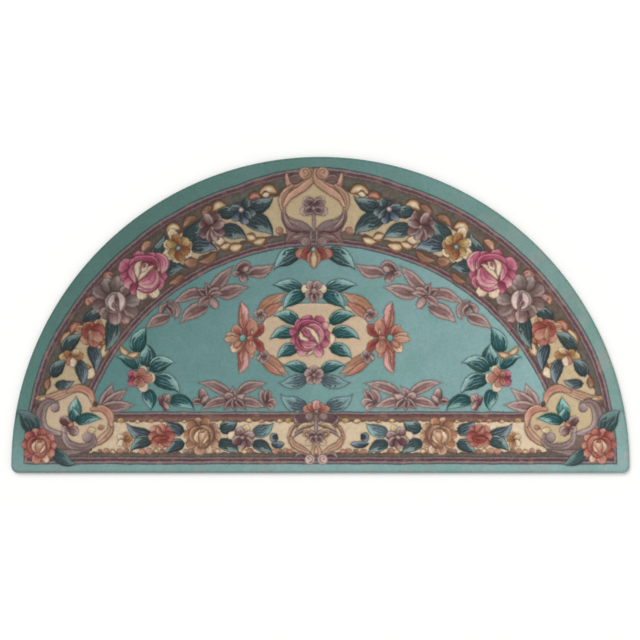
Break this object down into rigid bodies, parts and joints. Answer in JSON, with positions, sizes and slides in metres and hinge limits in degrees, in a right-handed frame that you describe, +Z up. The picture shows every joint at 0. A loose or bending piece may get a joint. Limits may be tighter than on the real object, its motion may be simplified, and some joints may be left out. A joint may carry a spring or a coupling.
{
  "type": "half-moon chinese rug",
  "caption": "Half-moon hearth rug of carved wool pile, with a floral arch border, a floral front border and a rose panel in a plain field.",
  "frame": {"origin": "middle of the rug's underside, at the centre of its box, on the floor", "axes": "+X along the straight front edge, +Y from the front edge towards the crown of the arch, +Z up out of the pile"},
  "size_m": [1.37, 0.7, 0.0135],
  "materials": {
    "wool_pile": "matte cut wool pile in teal with ivory, mauve, rose and dark green motifs"
  },
  "bodies": {
    "root": {"pile_rug": "wool_pile"}
  },
  "joints": []
}
